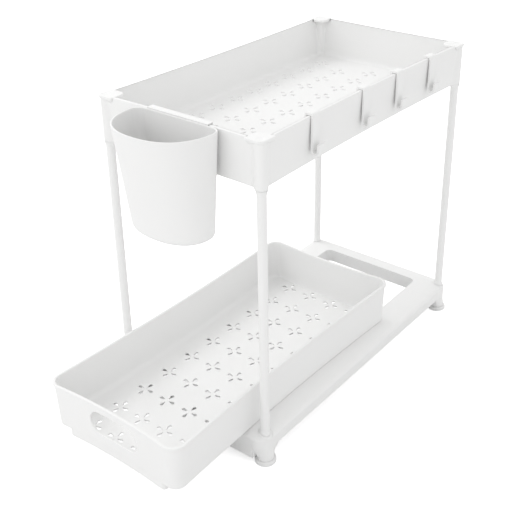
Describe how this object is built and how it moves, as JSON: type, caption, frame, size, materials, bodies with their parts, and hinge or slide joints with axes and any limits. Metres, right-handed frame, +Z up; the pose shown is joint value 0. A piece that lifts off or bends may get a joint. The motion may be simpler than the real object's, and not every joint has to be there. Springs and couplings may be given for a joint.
{
  "type": "under sink organizer",
  "caption": "Two-tier white organizer: perforated top tray on round posts, sliding drawer on a footed base frame, hanging cup and J hooks on the tray's rim.",
  "frame": {"origin": "on the floor at the middle of the base frame, between the four feet", "axes": "+Z up, -Y the way the drawer pulls out, +X the long side with the hooks"},
  "size_m": [0.2294, 0.5255, 0.3808],
  "materials": {
    "white_plastic": "satin white moulded plastic",
    "post_tube": "smooth satin white tube",
    "foot_plastic": "softer white plastic"
  },
  "bodies": {
    "frame": {"base_frame": "white_plastic", "foot_front_left": "foot_plastic", "foot_front_right": "foot_plastic", "foot_back_left": "foot_plastic", "foot_back_right": "foot_plastic", "post_front_left": "post_tube", "post_front_right": "post_tube", "post_back_left": "post_tube", "post_back_right": "post_tube", "top_tray": "white_plastic", "corner_cap_front_left": "white_plastic", "corner_cap_front_right": "white_plastic", "corner_cap_back_left": "white_plastic", "corner_cap_back_right": "white_plastic"},
    "drawer": {"drawer": "white_plastic"},
    "cup": {"hanging_cup": "white_plastic"},
    "hook_1": {"hook_1": "white_plastic"},
    "hook_2": {"hook_2": "white_plastic"},
    "hook_3": {"hook_3": "white_plastic"},
    "hook_4": {"hook_4": "white_plastic"}
  },
  "joints": [
    {"name": "drawer_slide", "type": "slide", "parent": "frame", "child": "drawer", "axis": [0, -1, 0], "range_m": [-0.112, 0.06]},
    {"name": "cup_lift", "type": "slide", "parent": "frame", "child": "cup", "axis": [0, 0, 1], "range_m": [0, 0.06]},
    {"name": "hook_1_lift", "type": "slide", "parent": "frame", "child": "hook_1", "axis": [0, 0, 1], "range_m": [0, 0.05]},
    {"name": "hook_2_lift", "type": "slide", "parent": "frame", "child": "hook_2", "axis": [0, 0, 1], "range_m": [0, 0.05]},
    {"name": "hook_3_lift", "type": "slide", "parent": "frame", "child": "hook_3", "axis": [0, 0, 1], "range_m": [0, 0.05]},
    {"name": "hook_4_lift", "type": "slide", "parent": "frame", "child": "hook_4", "axis": [0, 0, 1], "range_m": [0, 0.05]}
  ]
}
